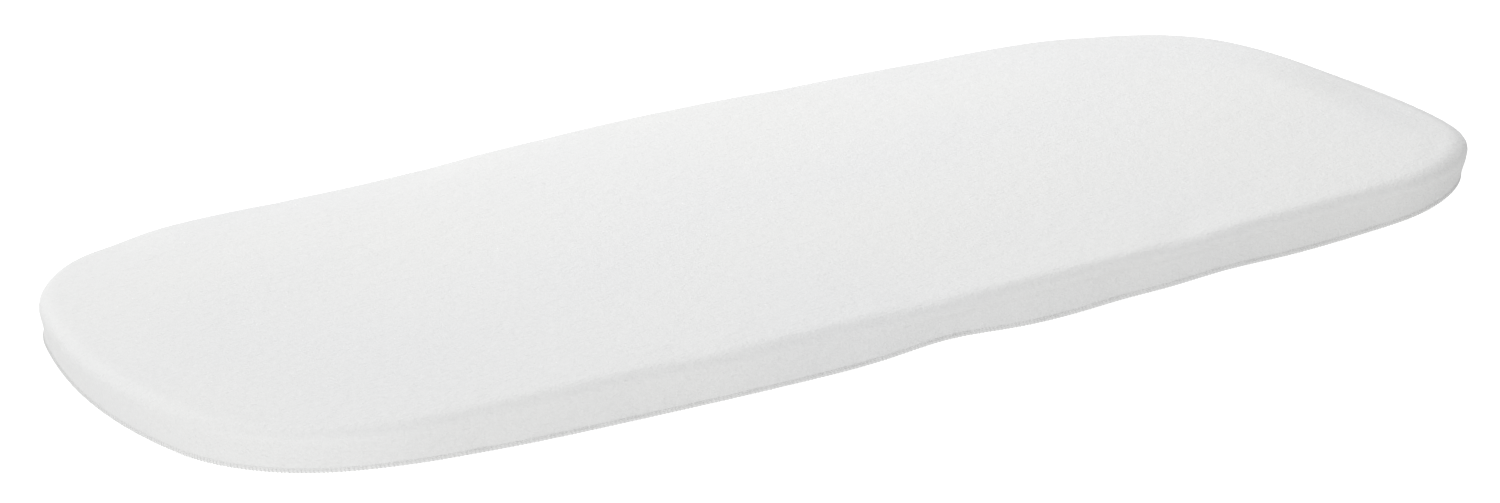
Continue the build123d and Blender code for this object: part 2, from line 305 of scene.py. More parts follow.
def build_coarse():
    """Points and faces of the closed sheet. A face's tag is top or base, or for a face in a ring
    the ring's name (wall and its row, or base) and the column."""
    places, side_cells, end_cells = column_places()
    count = len(places)
    arc = np.radians([0, 20, 40, 60, 80])
    rows = [(TOP_EDGE_RADIUS * (1 - sin(a)), TOP - TOP_EDGE_RADIUS * (1 - cos(a))) for a in arc]
    middle = (WINDOW_LOW + WINDOW_HIGH) / 2
    rows += [(0, z) for z in (WINDOW_HIGH, middle, WINDOW_LOW)]
    rows += [(float(wall_profile(z)), z) for z in (SEAM + 0.0012, SEAM)]
    base_rows = [(float(wall_profile(z)), z) for z in (0.0015, 0.0004)] + [(0.007, 0.0)]

    points, faces, tags = [], [], []

    def add_patch(height, flip, tag):
        ring = rim_points(places, np.full(count, GRID_INSET))
        grid = filled_grid(ring, side_cells, end_cells)
        start = len(points)
        points.extend([(x, y, height) for x, y in grid.reshape(-1, 2)])
        index = start + np.arange((side_cells + 1) * (end_cells + 1)).reshape(side_cells + 1, -1)
        for i in range(side_cells):
            for j in range(end_cells):
                quad = [index[i, j], index[i + 1, j], index[i + 1, j + 1], index[i, j + 1]]
                faces.append([int(k) for k in (quad[::-1] if flip else quad)])
                tags.append(tag)
        border = np.concatenate([index[:-1, 0], index[-1, :-1], index[:0:-1, -1], index[0, :0:-1]])
        return [int(k) for k in border]

    def add_row(inset, height):
        start = len(points)
        ring = rim_points(places, np.full(count, inset))
        points.extend([(x, y, height) for x, y in ring])
        return list(range(start, start + count))

    def join(upper, lower, tag):
        for k in range(count):
            after = (k + 1) % count
            faces.append([upper[k], lower[k], lower[after], upper[after]])
            tags.append((tag, k))

    ring = add_patch(TOP, False, "top")
    for number, (inset, height) in enumerate(rows):
        below = add_row(inset, height)
        join(ring, below, f"wall{number}")
        ring = below
    seam_ring = ring
    for inset, height in base_rows:
        below = add_row(inset, height)
        join(ring, below, "base")
        ring = below
    last = add_patch(0.0, True, "base")
    join(ring, last, "base")
    return np.array(points), faces, tags, places, seam_ring


def inflate(points, faces):
    """Cloth simulation of the closed sheet: the cover is a little larger than the foam, so it
    swells and settles. Returns how far each point moves."""
    piece = new_piece("cloth_trial", points, faces)
    hold = piece.vertex_groups.new(name="hold")
    near_floor = points[:, 2] < SEAM + 0.0002
    s, inset = rim_coordinates(points)
    at_zip = (np.abs(wrapped(s, BACK)) < WINDOW_HALF + ZIP_MARGIN) & (inset < 0.004)
    fixed = near_floor | (at_zip & (points[:, 2] < TOP - 0.008))
    hold.add([int(i) for i in np.flatnonzero(fixed)], 1.0, "REPLACE")
    cloth = piece.modifiers.new("cloth", "CLOTH")
    settings = cloth.settings
    settings.quality = 6
    settings.mass = 0.3
    settings.tension_stiffness = 12
    settings.compression_stiffness = 12
    settings.shear_stiffness = 6
    settings.bending_stiffness = 4
    settings.use_pressure = True
    settings.uniform_pressure_force = 0.3
    settings.shrink_min = -0.004
    settings.vertex_group_mass = "hold"
    settings.effector_weights.gravity = 0
    cloth.collision_settings.use_collision = False
    scene = bpy.context.scene
    for number in range(1, SWELL_FRAMES + 1):
        scene.frame_set(number)
    depsgraph = bpy.context.evaluated_depsgraph_get()
    swollen = read_points(piece.evaluated_get(depsgraph).data)
    scene.frame_set(1)
    mesh = piece.data
    bpy.data.objects.remove(piece)
    bpy.data.meshes.remove(mesh)
    return swollen - points


# ---- the shaped surface -------------------------------------------------------------------------
# Bells along the outline: place and width in quarters of the outline from FRONT, and height.
RIM_DROPS = (
    (2.30, 0.14, 0.0030),
    (2.60, 0.05, 0.0020),
    (1.93, 0.13, -0.0013),
    (1.38, 0.08, 0.0016),
    (0.96, 0.13, 0.0050),
    (0.80, 0.06, 0.0018),
    (3.15, 0.28, 0.0012),
)
SEAM_LIFTS = (
    (-0.015, 0.066, 0.0027),
    (0.19, 0.050, 0.0010),
    (0.31, 0.070, 0.0020),
    (0.66, 0.100, 0.0012),
    (3.42, 0.080, 0.0013),
)
SEAM_TUCKS = (
    (0.70, 0.20, 0.0042),
    (2.84, 0.22, 0.0024),
    (3.36, 0.16, 0.0022),
    (-0.015, 0.08, 0.0024),
)
WALL_SWELLS = (
    (0.75, 0.15, 0.0024),
    (2.83, 0.16, -0.0012),
)
SEAM_SAG = 0.0014  # how far the seam settles towards the floor
FOLD_HEIGHT = 0.0142
FOLD_ABOVE, FOLD_BELOW = 0.0042, 0.0115  # the fold's half widths above and below its middle
FOLD_LEAST, FOLD_GAIN = 0.0009, 0.0024  # its depth on the left, and how much deeper it gets
TUCK_EVERYWHERE, FOOT_SPREAD = 0.0004, 0.0008
WALL_LEAN = 0.0005
HILL_HEIGHT = 0.00035


def bells(s, shapes):
    """The sum of some bells at distances along the outline."""
    return sum(
        height * bump(wrapped(s, place * QUARTER), 0, width * QUARTER)
        for place, width, height in shapes
    )


def zip_freedom(s, inset):
    """0 round the zip, where the cover has to meet it, and 1 elsewhere."""
    beside = smooth((np.abs(wrapped(s, BACK)) - WINDOW_HALF - ZIP_MARGIN) / 0.06)
    inward = smooth((inset - 0.006) / 0.03)
    return 1 - (1 - beside) * (1 - inward)


def shape_soft(points):
    """Moves points of any soft piece: the slack and unevenness of a sewn cover on a foam slab."""
    points = points.copy()
    s, inset = rim_coordinates(points)
    _, _, normal = rim_frame(s)
    z = points[:, 2]
    free = zip_freedom(s, inset)
    on_wall = 1 - smooth((inset - 0.004) / 0.02)
    across = wrapped(s, FRONT)
    lift = bells(s, SEAM_LIFTS)

    # A soft fold under the rim: the terry rolls over the foam's edge, then falls in. It is deepest
    # along the right half of the front and fades out round the right end.
    deep = smooth((across + 0.30) / 0.50) * (1 - smooth((across - 0.30) / 0.12))
    depth = FOLD_LEAST + FOLD_GAIN * deep + 0.25 * lift
    fold = depth * bump(z, FOLD_HEIGHT, np.where(z > FOLD_HEIGHT, FOLD_ABOVE, FOLD_BELOW))

    # The seam pulls the foot of the wall under the pad, most at the two ends. Its last few
    # millimetres spread a little, as the sewn edge lies down.
    tuck = (bells(s, SEAM_TUCKS) + TUCK_EVERYWHERE - 0.1 * depth) * (1 - smooth(z / 0.018))
    tuck -= FOOT_SPREAD * (1 - smooth(z / 0.008))
    ring = np.stack([np.cos(s * 2 * pi / PERIMETER), np.sin(s * 2 * pi / PERIMETER)], 1)
    lean = waves(np.column_stack([ring, np.zeros(len(s))]), 3, 14, 1.6, 0.25)
    swell = (WALL_LEAN * lean + bells(s, WALL_SWELLS)) * np.sin(pi * np.clip(z / TOP, 0, 1))
    outward = swell - fold - tuck
    points[:, :2] += normal * (outward * free * on_wall)[:, None]

    # The lower edge lifts a little here and there. Elsewhere it sags to the floor.
    near_edge = smooth((0.06 - inset) / 0.05)
    lower = 1 - smooth((z - 0.004) / 0.016)
    sag = SEAM_SAG * np.where(z < SEAM, z / SEAM, 1 - smooth((z - SEAM) / 0.009))
    points[:, 2] += (lift * lower - sag) * free * near_edge

    # The top: it drops towards the rim in places, with slow hills and hollows.
    upper = smooth((z - 0.0165) / 0.0075)
    drop = bells(s, RIM_DROPS) * (1 - smooth((inset - 0.004) / 0.05))
    flat_points = points * np.array([1, 1, 0])
    hills = HILL_HEIGHT * waves(flat_points, 5, 18, 0.40, 0.11, (1.6, 1, 1))
    points[:, 2] += (hills * smooth(inset / 0.03) * free - drop) * upper
    return points


def nap(points, amount):
    """Height of the terry's pile at a point: short streaks along the pad and small nubs."""
    streaks = waves(points, 11, 34, 0.016, 0.006, (2.6, 1.0, 1.0))
    nubs = waves(points, 12, 34, 0.0072, 0.0052)
    return amount * (0.6 * streaks + 0.45 * nubs)


def vertex_normals(mesh):
    normals = np.zeros(len(mesh.vertices) * 3, np.float32)
    mesh.vertices.foreach_get("normal", normals)
    return normals.reshape(-1, 3).astype(float)


# ---- cover --------------------------------------------------------------------------------------
def panel(name, coarse, keep, corners=()):
    """One sewn panel: the kept faces of the coarse sheet, subdivided and shaped."""
    points, faces, tags = coarse
    chosen = [face for face, tag in zip(faces, tags) if keep(tag)]
    used = sorted({k for face in chosen for k in face})
    number = {k: i for i, k in enumerate(used)}
    piece = new_piece(name, points[used], [[number[k] for k in face] for face in chosen])
    if corners:
        crease = piece.data.attributes.new("crease_vert", "FLOAT", "POINT")
        values = np.zeros(len(used), np.float32)
        values[[number[k] for k in corners]] = 1
        crease.data.foreach_set("value", values)
    subdivide = piece.modifiers.new("subdivide", "SUBSURF")
    subdivide.levels = subdivide.render_levels = 2
    subdivide.boundary_smooth = "PRESERVE_CORNERS" if corners else "ALL"
    bake_modifiers(piece)
    return piece


def thicken(piece, thickness):
    """Gives a panel its fabric's thickness, on its inner side."""
    solid = piece.modifiers.new("thickness", "SOLIDIFY")
    solid.thickness = thickness
    solid.offset = -1
    bake_modifiers(piece)
    piece.data.polygons.foreach_set("use_smooth", [True] * len(piece.data.polygons))


def make_cover(terry, base_fabric):
    points, faces, tags, places, seam_ring = build_coarse()
    moved = SWELL_SHARE * inflate(points, faces)
    size = np.linalg.norm(moved, axis=1)
    kept = SWELL_LIMIT * np.tanh(size / SWELL_LIMIT)
    moved *= (kept / np.maximum(size, 1e-9))[:, None]
    points = points + moved
    count = len(places)
    along = wrapped(places, BACK)
    middles = wrapped(places + np.diff(places, append=PERIMETER + places[0]) / 2, BACK)

    def is_window(tag):
        return tag[0] in WINDOW_ROWS and abs(middles[tag[1]]) < WINDOW_HALF

    def is_terry(tag):
        return tag == "top" or tag[0][:4] == "wall" and not is_window(tag)

    corner_columns = [k for k in range(count) if abs(abs(along[k]) - WINDOW_HALF) < 1e-6]
    upper, lower = ([f for f, t in zip(faces, tags) if t[0] == row] for row in WINDOW_ROWS)
    corners = [upper[k][0] for k in corner_columns] + [lower[k][1] for k in corner_columns]

    coarse = (points, faces, tags)
    top = panel("cover_terry", coarse, is_terry, corners)
    base = panel("cover_base", coarse, lambda tag: "base" in (tag, tag[0]))

    shaped = shape_soft(read_points(top.data))
    write_points(top.data, shaped)
    s, inset = rim_coordinates(shaped)
    calm = (zip_freedom(s, inset) * 0.8 + 0.2) * (1 - 0.6 * bump(inset, 0.006, 0.008))
    seam_calm = smooth((shaped[:, 2] - SEAM - 0.0005) / 0.002)
    pile = nap(shaped, PILE) * calm * seam_calm
    write_points(top.data, shaped + vertex_normals(top.data) * pile[:, None])
    thicken(top, FABRIC)

    shaped = shape_soft(read_points(base.data))
    shaped[:, 2] = np.maximum(shaped[:, 2], 0)
    write_points(base.data, shaped)
    thicken(base, FABRIC)

    settle(top, "pad", "terry", terry, "cover_top")
    settle(base, "pad", "base_fabric", base_fabric, "cover_bottom")


# ---- filling ------------------------------------------------------------------------------------
def make_filling(foam, film):
    """The foam slab and its liner, which give way under the cover's edge as the cover does."""
    for node, name, slot_name, material in (
        ("foam_core", "foam_slab", "foam", foam),
        ("liner_top", "liner_upper_film", "liner_film", film),
        ("liner_bottom", "liner_lower_film", "liner_film", film),
    ):
        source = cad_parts[node]
        turn = np.array(source.matrix_world)
        points = read_points(source.data) @ turn[:3, :3].T + turn[:3, 3]
        faces = [list(face.vertices) for face in source.data.polygons]
        piece = new_piece(name, shape_soft(points), faces)
        settle(piece, "pad", slot_name, material, node)


# ---- threads ------------------------------------------------------------------------------------
def tubes(name, paths, radius, sides, profile):
    """Many short threads in one mesh. paths is (threads, points, 3), and profile is the share of
    the radius at each point. The two ends are closed."""
    threads, steps, _ = paths.shape
    tangent = np.gradient(paths, axis=1)
    tangent /= np.linalg.norm(tangent, axis=2, keepdims=True)
    reference = np.broadcast_to(np.array([0.08, 0.05, 1.0]), tangent.shape)
    first = np.cross(tangent, reference)
    first /= np.maximum(np.linalg.norm(first, axis=2, keepdims=True), 1e-9)
    second = np.cross(tangent, first)
    angle = np.linspace(0, 2 * pi, sides, endpoint=False)
    size = radius * np.asarray(profile)[None, :, None, None]
    cosines, sines = np.cos(angle)[:, None], np.sin(angle)[:, None]
    around = first[:, :, None] * cosines + second[:, :, None] * sines
    points = (paths[:, :, None] + around * size).reshape(-1, 3)
    faces = []
    for thread in range(threads):
        start = thread * steps * sides
        for step in range(steps - 1):
            a, b = start + step * sides, start + (step + 1) * sides
            for k in range(sides):
                after = (k + 1) % sides
                faces.append([a + k, a + after, b + after, b + k])
        faces.append(list(range(start + sides - 1, start - 1, -1)))
        last = start + (steps - 1) * sides
        faces.append(list(range(last, last + sides)))
    return new_piece(name, points, faces)


STITCH_PITCH = 0.0022
RIDGE_STAND = 0.0005  # how far the rolled edge stands out of the wall
RIDGE_HALF = 0.0008  # half its height
THREAD = 0.00021  # radius
LOOP_TAPER = [0.8, 1, 1, 1, 1, 1, 0.8]
STITCH_TAPER = [0.5, 0.95, 1, 0.95, 0.5]


def wall_points(s, out, height):
    """Points near the wall: out is the distance outside the wall's own surface at that height."""
    inset = wall_profile(height) - out
    return np.column_stack([rim_points(s, inset), height])


def stitch_count():
    return int(round(PERIMETER / STITCH_PITCH))


def make_overlocked_edge(terry_edge):
    """The rolled edge of the two panels: a ridge that the thread pinches at each stitch."""
    count = stitch_count() * 4
    s = np.linspace(0, PERIMETER, count, endpoint=False)
    pinch = 1 - 0.22 * np.cos(pi * s / PERIMETER * stitch_count()) ** 2
    angles = np.radians([-100, -70, -35, 0, 35, 70, 100])
    rows = []
    for angle in angles:
        height = SEAM + RIDGE_HALF * sin(angle) * np.ones(count)
        base_inset = wall_profile(np.full(count, SEAM))
        out = RIDGE_STAND * cos(angle) * pinch + 0.0001
        rows.append(np.column_stack([rim_points(s, base_inset - out), height]))
    points = shape_soft(np.concatenate(rows))
    faces = []
    rings = len(angles)
    for row in range(rings):
        here, above = row * count, (row + 1) % rings * count
        for k in range(count):
            after = (k + 1) % count
            faces.append([here + k, here + after, above + after, above + k])
    ridge = new_piece("overlock_ridge", points, faces)
    # terry_edge is the darker copy of the terry, with painted shade on the ridge.
    settle(ridge, "pad", "terry", terry_edge, "overlocked_edge")


def make_overlock_thread(thread):
    """Thread loops over the rolled edge, and the line of needle stitches above it."""
    count = stitch_count()
    s = (np.arange(count) + 0.5) * PERIMETER / count
    rng = np.random.default_rng(21)
    s = s + rng.normal(0, 0.00012, count)
    steps = np.linspace(0, 1, 7)
    paths = []
    for share in steps:
        angle = radians(105 - 205 * share)
        out = (RIDGE_STAND + THREAD) * cos(angle)
        height = SEAM + (RIDGE_HALF + THREAD) * sin(angle)
        slant = (share - 0.5) * 0.0011
        inset = wall_profile(np.full(count, SEAM)) - out
        paths.append(np.column_stack([rim_points(s + slant, inset), np.full(count, height)]))
    loops = np.stack(paths, 1)
    needle = []
    for share in (-0.42, -0.3, 0.0, 0.3, 0.42):
        sunk = -0.00012 if abs(share) > 0.4 else 0.00006
        height = np.full(count, SEAM + RIDGE_HALF + 0.0007)
        needle.append(wall_points(s + share * STITCH_PITCH, np.full(count, sunk), height))
    line = np.stack(needle, 1)
    shaped_loops = shape_soft(loops.reshape(-1, 3)).reshape(loops.shape)
    shaped_line = shape_soft(line.reshape(-1, 3)).reshape(line.shape)
    wraps = tubes("overlock_loops", shaped_loops, THREAD, 6, LOOP_TAPER)
    needles = tubes("overlock_needle_line", shaped_line, THREAD, 6, STITCH_TAPER)
    settle(wraps, "pad", "thread", thread, "overlock_thread")
    settle(needles, "pad", "thread", thread)


def make_zip_stitches(thread):
    """Separate topstitches above and below the zip."""
    pitch, length = 0.0031, 0.0025
    count = int(2 * WINDOW_HALF / pitch)
    middles = BACK + (np.arange(count) - (count - 1) / 2) * pitch
    rises = (-0.0002, 0.00012, 0.00018, 0.00012, -0.0002)
    for name, (low, high), node in (
        ("topstitch_upper", STITCH_UPPER, "zip_stitching_upper"),
        ("topstitch_lower", STITCH_LOWER, "zip_stitching_lower"),
    ):
        height = np.full(count, (low.z + high.z) / 2)
        rows = []
        for share, out in zip((-0.5, -0.36, 0, 0.36, 0.5), rises):
            rows.append(wall_points(middles + share * length, np.full(count, out), height))
        row = tubes(name, np.stack(rows, 1), 0.00022, 6, STITCH_TAPER)
        settle(row, "pad", "thread", thread, node)


def make_bar_tacks(thread):
    """A dense bar of satin stitches across each end of the zip."""
    low, high = TACK_BOX[0].z + 0.0004, TACK_BOX[1].z - 0.0004
    tack_length = 0.0016
    count = 26
    paths = []
    for end in (-1, 1):
        for k in range(count):
            height = low + (high - low) * k / (count - 1)
            centre = BACK + end * (WINDOW_HALF + tack_length / 2)
            path = []
            for share in np.linspace(-0.5, 0.5, 6):
                arch = 0.00025 * cos(pi * share) - 0.00005
                s = np.array([centre + share * tack_length * 1.05])
                z = height + 0.00012 * (share if k % 2 else -share)
                path.append(wall_points(s, np.array([arch]), np.array([z]))[0])
            paths.append(path)
    bars = tubes("bar_tacks", np.array(paths), 0.0002, 6, [0.6, 1, 1, 1, 1, 0.6])
    settle(bars, "pad", "thread", thread, "zip_bar_tacks")


def make_label(satin):
    """A blank satin label: one strip folded over at its outer end, both layers in the seam."""
    width, length = 0.0245, 0.0178
    hang, floor_gap = 0.0019, 0.0004
    bearing = radians(45)
    out = np.array([cos(bearing), sin(bearing)])
    side = np.array([-out[1], out[0]])
    root = CORNER_CENTRE + out * (CORNER_RADIUS + RIDGE_STAND - 0.0006)
    fold = 0.00045
    path = []

    def add_layer(shares, way):
        for share in shares:
            droop = SEAM - hang * smooth(share * 1.15)
            apart = way * fold * (0.35 + 0.65 * smooth(share * 2))
            path.append((share * (length - fold), droop + apart))

    add_layer(np.linspace(0, 1, 14), 1)
    for angle in np.radians(np.linspace(75, -75, 7)):
        path.append((length - fold + fold * cos(angle), SEAM - hang + fold * sin(angle)))
    add_layer(np.linspace(1, 0, 14), -1)
    across = np.linspace(-0.5, 0.5, 17)
    points = []
    for reach, height in path:
        for share in across:
            curl = 0.0005 * (2 * share) ** 4 * reach / length
            ripple = 0.00012 * sin(share * 9 + reach * 160) * reach / length
            place = root + out * reach + side * share * width
            points.append((place[0], place[1], height + curl + ripple))
    seam = np.array([[root[0], root[1], SEAM]])
    points = np.array(points) + (shape_soft(seam) - seam)
    points[:, 2] = np.maximum(points[:, 2], floor_gap)
    columns = len(across)
    faces = [
        [r * columns + c, r * columns + c + 1, (r + 1) * columns + c + 1, (r + 1) * columns + c]
        for r in range(len(path) - 1)
        for c in range(columns - 1)
    ]
    label = new_piece("folded_label", points, faces)
    thicken(label, 0.00018)
    settle(label, "pad", "label_satin", satin, "care_label")


# ---- materials ----------------------------------------------------------------------------------
class Nodes:
    """A short way to write a node material."""

    def __init__(self, name):
        self.material = bpy.data.materials.new(name)
        self.material.use_nodes = True
        self.tree = self.material.node_tree
        self.shader = self.tree.nodes["Principled BSDF"]
        self.place = self.add("ShaderNodeTexCoord").outputs["Object"]

    def add(self, kind, **values):
        node = self.tree.nodes.new(kind)
        for key, value in values.items():
            if isinstance(value, bpy.types.NodeSocket):
                self.tree.links.new(value, node.inputs[key])
            elif key in node.inputs:
                node.inputs[key].default_value = value
            else:
                setattr(node, key, value)
        return node

    def link(self, output, node, key):
        self.tree.links.new(output, node.inputs[key])

    def scaled(self, scale, turn=(0, 0, 0)):
        """Object coordinates, scaled and turned."""
        mapping = self.add("ShaderNodeMapping", Vector=self.place)
        mapping.inputs["Scale"].default_value = scale
        mapping.inputs["Rotation"].default_value = turn
        return mapping.outputs["Vector"]

    def noise(self, vector, scale, detail=3.0, roughness=0.5):
        node = self.add(
            "ShaderNodeTexNoise", Vector=vector, Scale=scale, Detail=detail, Roughness=roughness
        )
        return node.outputs["Fac"]

    def cells(self, vector, scale, feature="F1"):
        node = self.add("ShaderNodeTexVoronoi", feature=feature, Vector=vector, Scale=scale)
        return node.outputs["Distance"]

    def stripes(self, vector, scale, direction, distortion=0.0):
        node = self.add(
            "ShaderNodeTexWave",
            Vector=vector,
            Scale=scale,
            Distortion=distortion,
            bands_direction=direction,
        )
        return node.outputs["Fac"]

    def ramp(self, value, stops):
        node = self.add("ShaderNodeValToRGB", Fac=value)
        first, last = node.color_ramp.elements
        first.position, first.color = stops[0][0], (*stops[0][1], 1)
        last.position, last.color = stops[-1][0], (*stops[-1][1], 1)
        for position, colour in stops[1:-1]:
            node.color_ramp.elements.new(position).color = (*colour, 1)
        return node.outputs["Color"]

    def mix(self, factor, first, second, blend="MIX"):
        node = self.add("ShaderNodeMix", data_type="RGBA", blend_type=blend)
        for key, value in ((0, factor), (6, first), (7, second)):
            if isinstance(value, bpy.types.NodeSocket):
                self.tree.links.new(value, node.inputs[key])
            else:
                node.inputs[key].default_value = value if key == 0 else (*value, 1)
        return node.outputs[2]

    def maths(self, operation, first, second=0.0):
        node = self.add("ShaderNodeMath", operation=operation)
        for key, value in enumerate((first, second)):
            if isinstance(value, bpy.types.NodeSocket):
                self.tree.links.new(value, node.inputs[key])
            else:
                node.inputs[key].default_value = value
        return node.outputs[0]

    def bump(self, height, distance, strength=1.0, after=None):
        node = self.add("ShaderNodeBump", Height=height, Distance=distance, Strength=strength)
        if after is not None:
            self.tree.links.new(after, node.inputs["Normal"])
        return node.outputs["Normal"]

    def finish(self, colour, roughness, normal=None, **shader):
        self.link(colour, self.shader, "Base Color")
        if isinstance(roughness, bpy.types.NodeSocket):
            self.link(roughness, self.shader, "Roughness")
        else:
            self.shader.inputs["Roughness"].default_value = roughness
        if normal is not None:
            self.link(normal, self.shader, "Normal")
        for key, value in shader.items():
            self.shader.inputs[key.replace("_", " ")].default_value = value
        return self.material


def terry_material(name, light, shade, pile=1.0):
    """White cotton terry, washed and brushed: short streaks of pile, nubs and loose fibres."""
    n = Nodes(name)
    streak_space = n.scaled((1.0, 2.6, 2.6), (0, 0, radians(4)))
    streaks = n.noise(streak_space, 190, 4, 0.6)
    clumps = n.noise(n.scaled((1, 1.7, 1.7)), 70, 3, 0.55)
    loops = n.cells(n.scaled((1, 1.25, 1.25)), 620, "SMOOTH_F1")
    fibres = n.noise(n.scaled((1, 1, 1)), 1500, 4, 0.7)
    broad = n.noise(n.scaled((1, 1.4, 1)), 5, 2, 0.5)
    # Painted shade: the gaps between the loops and the low parts of the streaks, which are the
    # hollows of the bumps below, take the darker tone.
    tone = n.mix(n.maths("MULTIPLY", loops, 0.9), light, shade)
    streak_tone = n.ramp(streaks, [(0.32, tuple(c * 0.955 for c in light)), (0.62, light)])
    tone = n.mix(0.5, tone, streak_tone)
    warm = tuple(c * k for c, k in zip(light, (1.0, 0.995, 0.975)))
    tone = n.mix(n.ramp(broad, [(0.35, (0, 0, 0)), (0.7, (0.6, 0.6, 0.6))]), tone, warm)
    normal = n.bump(clumps, 0.0010, 0.40 * pile)
    normal = n.bump(streaks, 0.0009, 0.70 * pile, normal)
    normal = n.bump(n.maths("SUBTRACT", 1.0, loops), 0.0006, 0.40 * pile, normal)
    normal = n.bump(fibres, 0.0002, 0.35 * pile, normal)
    rough = n.maths("ADD", n.maths("MULTIPLY", fibres, 0.08), 0.9)
    return n.finish(
        tone,
        rough,
        normal,
        Sheen_Weight=0.25,
        Sheen_Roughness=0.55,
        Sheen_Tint=(1, 1, 1, 1),
        Specular_IOR_Level=0.15,
    )


def knit_material(name, light, shade):
    """Fine plain knit: ribs of loops along the pad, with a slight cast across."""
    n = Nodes(name)
    ribs = n.stripes(n.scaled((1, 1, 1)), 240, "Y", 0.6)
    rows = n.stripes(n.scaled((1, 1, 1)), 185, "X", 0.6)
    knit = n.maths("MULTIPLY", ribs, rows)
    fuzz = n.noise(n.scaled((1, 1, 1)), 1300, 3, 0.6)
    cloud = n.noise(n.scaled((1, 1, 1)), 9, 2, 0.5)
    # Painted shade: the knit's grooves, low in the bump below, take the shade tone, and its ridges
    # take the light one.
    tone = n.mix(knit, shade, light)
    tone = n.mix(n.maths("MULTIPLY", cloud, 0.5), tone, tuple(c * 0.97 for c in light))
    normal = n.bump(knit, 0.0004, 0.5)
    normal = n.bump(fuzz, 0.0002, 0.4, normal)
    return n.finish(
        tone, 0.88, normal, Sheen_Weight=0.12, Sheen_Roughness=0.5, Specular_IOR_Level=0.2
    )


def thread_material(name, light, shade):
    """Spun polyester thread: fine slanting plies and a faint gloss."""
    n = Nodes(name)
    plies = n.stripes(n.scaled((1, 1, 1), (0, radians(35), radians(40))), 700, "DIAGONAL", 1.0)
    fuzz = n.noise(n.scaled((1, 1, 1)), 2600, 2, 0.6)
    # Painted shade: the hollows between the plies, low in the bump below, take the shade tone.
    tone = n.mix(plies, shade, light)
    normal = n.bump(plies, 0.00008, 0.6)
    normal = n.bump(fuzz, 0.00006, 0.5, normal)
    return n.finish(tone, 0.62, normal, Sheen_Weight=0.1, Specular_IOR_Level=0.35)


def tape_material(name, light, shade):
    """Woven zip tape: a herringbone of fine yarns, close to the row of teeth."""
    n = Nodes(name)
    yarn = n.stripes(n.scaled((1, 1, 1)), 260, "DIAGONAL", 0.3)
    across = n.stripes(n.scaled((1, 1, 1)), 300, "Z", 0.2)
    weave = n.maths("MULTIPLY", yarn, across)
    # Painted shade: the gaps of the weave, low in the bump below, take the shade tone.
    tone = n.mix(weave, shade, light)
    normal = n.bump(weave, 0.00018, 0.7)
    return n.finish(tone, 0.8, normal, Sheen_Weight=0.08, Specular_IOR_Level=0.25)


def coil_material(name, light, shade):
    """Nylon monofilament: smooth milky white, with a little wear."""
    n = Nodes(name)
    wear = n.noise(n.scaled((1, 1, 1)), 420, 3, 0.6)
    tone = n.mix(wear, shade, light)
    normal = n.bump(wear, 0.00005, 0.4)
    rough = n.maths("ADD", n.maths("MULTIPLY", wear, 0.18), 0.28)
    return n.finish(tone, rough, normal, Specular_IOR_Level=0.5, Subsurface_Weight=0.05)


def enamel_material(name, light, shade):
    """Painted zinc: glossy enamel with fine orange peel and tiny rubs."""
    n = Nodes(name)
    peel = n.noise(n.scaled((1, 1, 1)), 900, 2, 0.5)
    rubs = n.noise(n.scaled((1, 3, 1)), 260, 5, 0.7)
    tone = n.mix(n.ramp(rubs, [(0.55, (0, 0, 0)), (0.75, (1, 1, 1))]), light, shade)
    normal = n.bump(peel, 0.00003, 0.4)
    rough = n.maths("ADD", n.maths("MULTIPLY", rubs, 0.25), 0.16)
    return n.finish(
        tone, rough, normal, Specular_IOR_Level=0.5, Coat_Weight=0.4, Coat_Roughness=0.12
    )


def metal_material(name, light, shade):
    """Stamped bare metal with drawn scratches."""
    n = Nodes(name)
    drawn = n.noise(n.scaled((1, 14, 1)), 380, 4, 0.65)
    tone = n.mix(drawn, shade, light)
    normal = n.bump(drawn, 0.00003, 0.4)
    rough = n.maths("ADD", n.maths("MULTIPLY", drawn, 0.25), 0.22)
    return n.finish(tone, rough, normal, Metallic=1.0)


def foam_material(name, light, shade):
    """Open-cell polyurethane foam: a fine froth of pores, slightly yellowed in places."""
    n = Nodes(name)
    pores = n.cells(n.scaled((1, 1, 1)), 900, "F1")
    age = n.noise(n.scaled((1, 1, 1)), 12, 3, 0.5)
    tone = n.mix(n.maths("MULTIPLY", age, 0.8), light, shade)
    normal = n.bump(pores, 0.0006, 0.8)
    return n.finish(tone, 0.95, normal, Specular_IOR_Level=0.1)


def film_material(name, light, shade):
    """Soft polyurethane film: a satin skin with fine crinkles."""
    n = Nodes(name)
    crinkle = n.noise(n.scaled((1, 1, 1)), 90, 5, 0.6)
    grain = n.noise(n.scaled((1, 1, 1)), 1100, 2, 0.5)
    # Painted shade: the hollows of the crinkles, low in the bump below, take the shade tone.
    tone = n.mix(crinkle, shade, light)
    normal = n.bump(crinkle, 0.0008, 0.3)
    normal = n.bump(grain, 0.00006, 0.4, normal)
    return n.finish(tone, 0.38, normal, Specular_IOR_Level=0.45)


def satin_material(name, light, shade):
    """Woven polyester satin: long floats that run along the strip."""
    n = Nodes(name)
    floats = n.noise(n.scaled((1, 9, 1), (0, 0, radians(-45))), 520, 3, 0.6)
    rows = n.stripes(n.scaled((1, 1, 1), (0, 0, radians(-45))), 240, "X", 0.2)
    # Painted shade: the low parts of the floats, sunk by the bump below, take the shade tone.
    tone = n.mix(floats, shade, light)
    normal = n.bump(rows, 0.00006, 0.5)
    normal = n.bump(floats, 0.00006, 0.5, normal)
    return n.finish(tone, 0.42, normal, Sheen_Weight=0.1, Specular_IOR_Level=0.45)


# ---- stage --------------------------------------------------------------------------------------
FLOOR_LIGHT = 0.46  # strength of the floor's glow as a light on the pad
SEEN_GLOW = 0.49  # what the camera sees on top of that
ROOM_LIGHT, ROOM_SLOPE = 0.75, -0.40  # the room's strength, and its change towards +X


